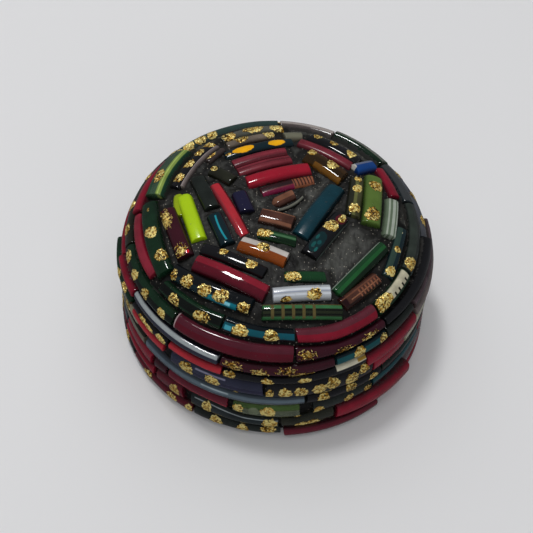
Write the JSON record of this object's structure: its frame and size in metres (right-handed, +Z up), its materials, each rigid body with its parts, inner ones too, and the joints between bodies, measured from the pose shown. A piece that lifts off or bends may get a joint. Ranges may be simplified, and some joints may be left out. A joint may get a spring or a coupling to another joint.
{
  "type": "glass trinket box",
  "caption": "Round hollow trinket box with a low-domed lift-off lid, its outside clad in short and curved rods of coloured glass set in dark lac.",
  "frame": {"origin": "middle of the flat underside of the base", "axes": "+Z up through the middle of the lid; -Y towards the side seen at the front of the picture"},
  "size_m": [0.0782, 0.0788, 0.0406],
  "materials": {
    "lac": "matt with fine sparkle",
    "black_glass": "glossy opaque",
    "crimson_glass": "glossy opaque",
    "maroon_glass": "glossy, deep",
    "dark_green_glass": "glossy, deep",
    "leaf_green_glass": "glossy translucent",
    "lime_glass": "glossy opaque",
    "olive_glass": "glossy translucent",
    "teal_glass": "glossy, deep",
    "navy_glass": "glossy, deep",
    "cobalt_glass": "glossy",
    "white_glass": "glossy opal",
    "sage_glass": "glossy translucent, striped",
    "amber_glass": "glossy transparent",
    "copper_glass": "glossy translucent",
    "slate_glass": "glossy opaque",
    "mauve_glass": "glossy",
    "gold_leaf": "crinkled metallic"
  },
  "bodies": {
    "root": {"base_body": "lac", "lid_body": "lac", "base_foot_row": "maroon_glass", "base_lower_row": "crimson_glass", "base_middle_row": "olive_glass", "base_upper_row": "slate_glass", "base_top_row": "navy_glass", "lid_lowest_row": "black_glass", "lid_lower_row": "slate_glass", "lid_upper_row": "maroon_glass", "lid_rim_row": "teal_glass", "lime_rod": "lime_glass", "lime_curl": "lime_glass", "teal_line_rod": "teal_glass", "red_slim_rod": "crimson_glass", "navy_stub": "navy_glass", "maroon_glitter_rod": "maroon_glass", "dark_green_left_rod": "dark_green_glass", "gold_dab_front_rod": "teal_glass", "maroon_front_rod": "maroon_glass", "black_front_rod": "black_glass", "white_orange_rod": "white_glass", "green_gold_stub": "dark_green_glass", "copper_rod": "copper_glass", "copper_chip": "copper_glass", "black_curl": "black_glass", "crimson_ladder_rod": "crimson_glass", "bright_red_rod": "crimson_glass", "ribbed_crimson_low": "crimson_glass", "ribbed_crimson_high": "crimson_glass", "yellow_spot_rod": "teal_glass", "olive_stub": "olive_glass", "charcoal_rod": "black_glass", "black_dab_rod": "black_glass", "mauve_strip": "mauve_glass", "brown_dab_rod": "amber_glass", "emerald_rod": "leaf_green_glass", "back_dark_dab_rod": "black_glass", "back_brown_rod": "mauve_glass", "grey_green_stub": "sage_glass", "dull_crimson_rod": "crimson_glass", "amber_rod": "amber_glass", "black_back_rod": "black_glass", "cobalt_stub": "cobalt_glass", "crimson_rim_rod": "crimson_glass", "olive_dab_rod": "olive_glass", "leaf_green_rod": "leaf_green_glass", "sage_stripe_rod": "sage_glass", "petrol_rod": "teal_glass", "black_speckle_rod": "black_glass", "long_green_rod": "dark_green_glass", "green_dab_stub": "dark_green_glass", "white_rod": "white_glass", "ladder_green_rod": "dark_green_glass", "copper_ladder_rod": "copper_glass", "dark_teal_rod": "teal_glass"}
  },
  "joints": []
}
